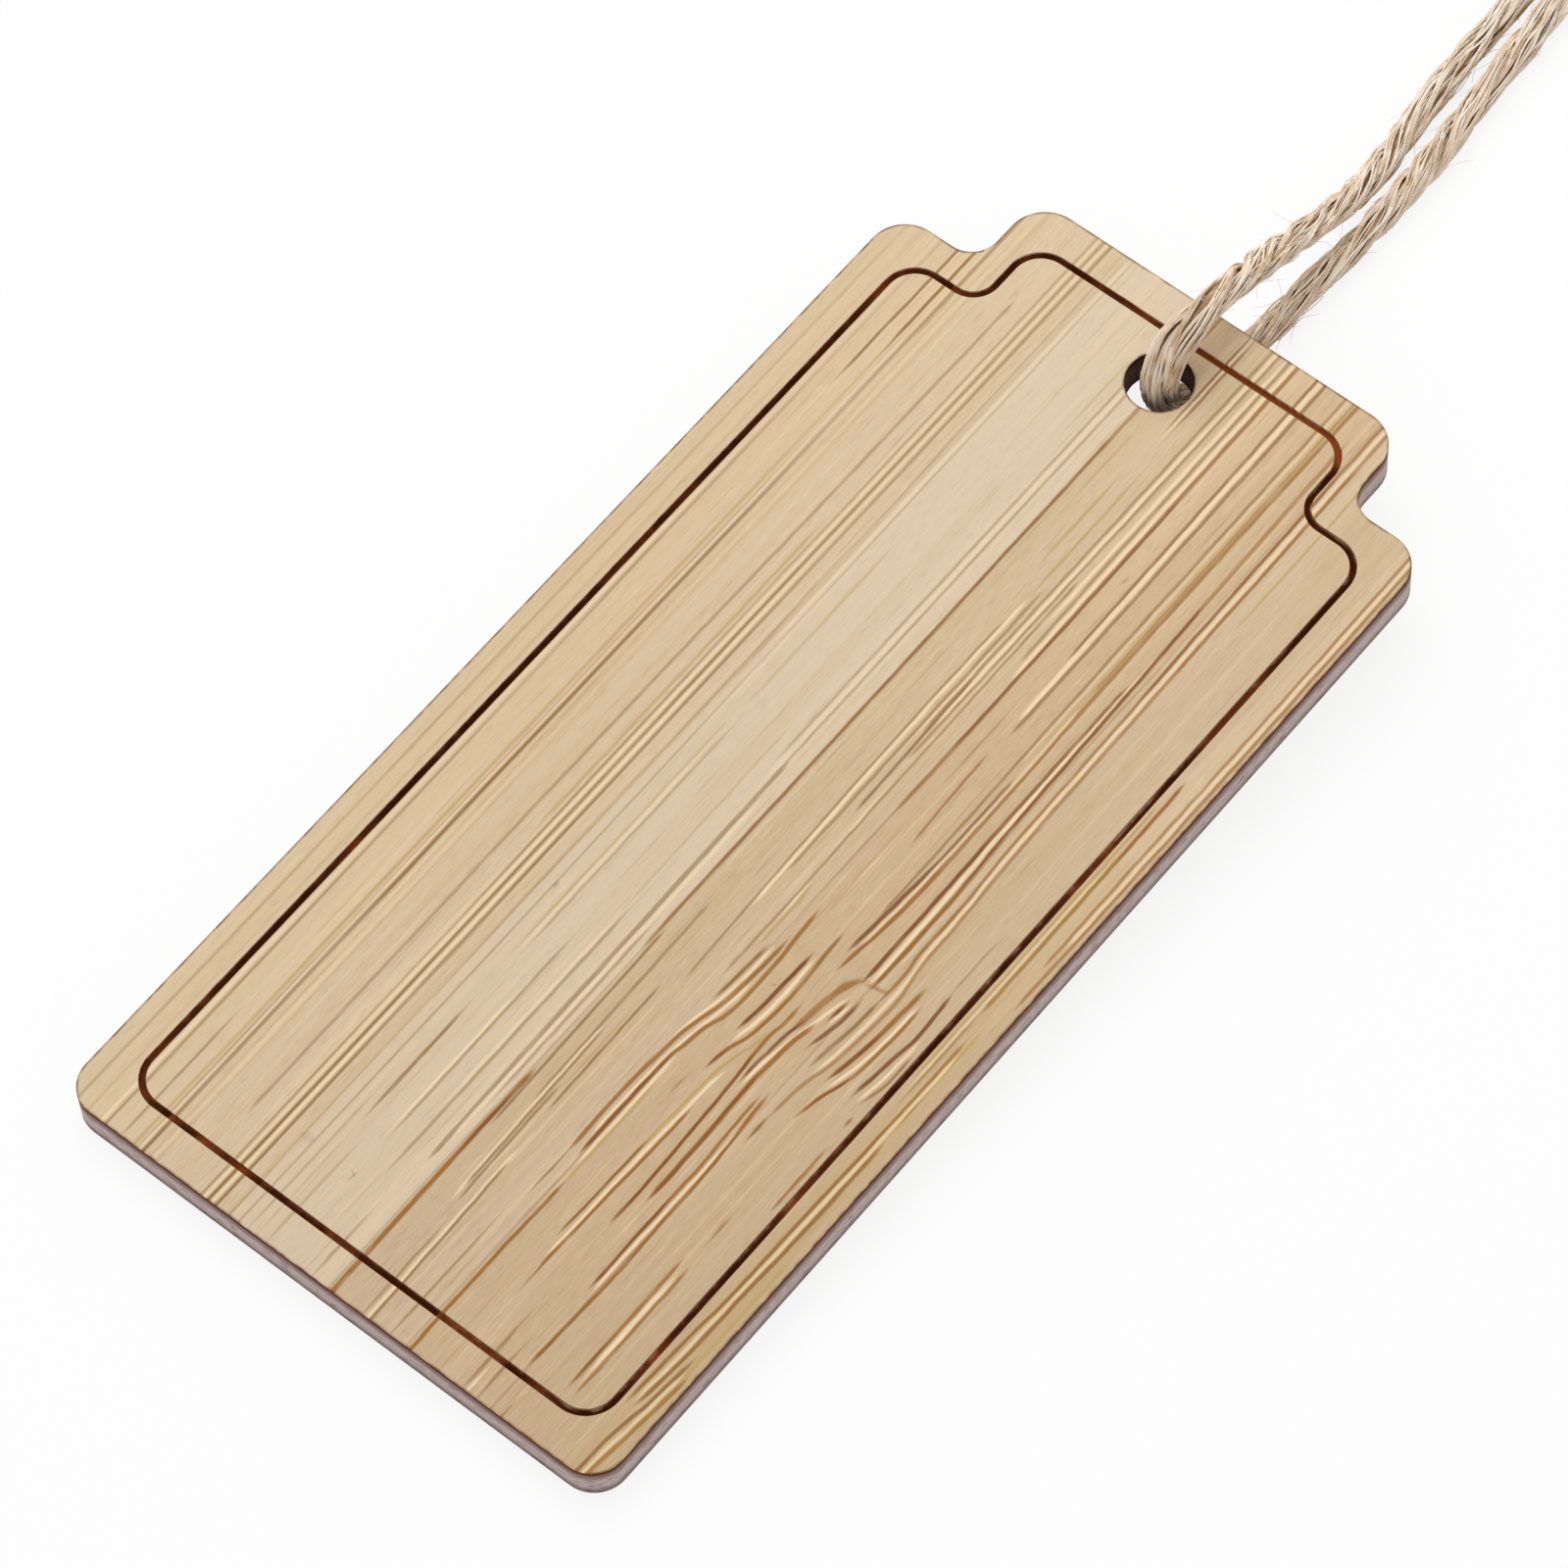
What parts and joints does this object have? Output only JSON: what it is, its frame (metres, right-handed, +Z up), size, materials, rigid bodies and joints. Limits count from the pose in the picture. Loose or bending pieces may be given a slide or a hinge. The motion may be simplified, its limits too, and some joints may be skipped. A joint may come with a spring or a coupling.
{
  "type": "bamboo plant label",
  "caption": "Flat bamboo tag with stepped shoulders, a burnt line round its face and a hole, hung on a knotted loop of jute twine; a blank to mark and tie on a plant or pot.",
  "frame": {"origin": "on the surface that the label lies on, below the middle of the label", "axes": "+Y up the label to its holed top end, +X across its face to the right, +Z up out of its face"},
  "size_m": [0.04, 0.1632, 0.01],
  "materials": {
    "bamboo": "sanded, unvarnished, with laser-burnt edges",
    "jute": "hairy twisted twine"
  },
  "bodies": {
    "label": {"left_edge_strip": "bamboo", "left_strip": "bamboo", "left_centre_strip": "bamboo", "right_centre_strip": "bamboo", "right_strip": "bamboo", "right_edge_strip": "bamboo"},
    "twine_loop": {"twine_front_leg": "jute", "twine_back_leg": "jute", "twine_knot": "jute", "twine_tails": "jute"}
  },
  "joints": [
    {"name": "loop_swing", "type": "hinge", "parent": "label", "child": "twine_loop", "pos_m": [0, 0.03507, 0.005], "axis": [0, 0, 1], "range_deg": [-45, 45]}
  ]
}
